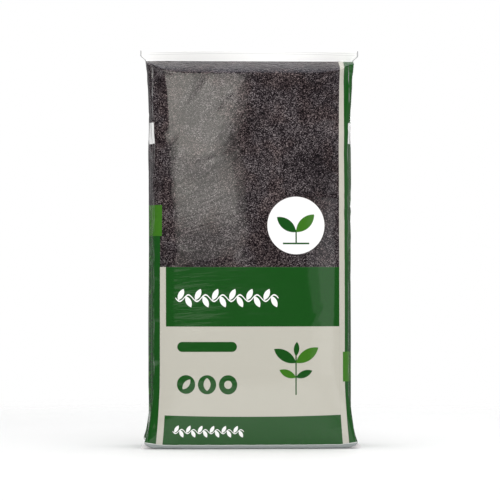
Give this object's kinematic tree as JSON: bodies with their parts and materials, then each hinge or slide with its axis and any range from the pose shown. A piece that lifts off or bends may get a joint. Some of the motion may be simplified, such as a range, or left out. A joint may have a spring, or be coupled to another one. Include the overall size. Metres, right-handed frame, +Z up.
{
  "type": "compost bag",
  "caption": "Sealed upright film bag of compost with folded side gussets, a flat heat-sealed fin on top and a flat foot to stand on.",
  "frame": {"origin": "on the floor, under the middle of the bag", "axes": "+Z up from the foot to the sealed fin, front of the bag towards -Y, width along X"},
  "size_m": [0.4, 0.1728, 0.725],
  "materials": {
    "printed_film": "printed polyethylene film, satin gloss: dark soil print above, green and pale grey-beige fields below, white at the seals"
  },
  "bodies": {
    "root": {"compost_bag": "printed_film"}
  },
  "joints": []
}
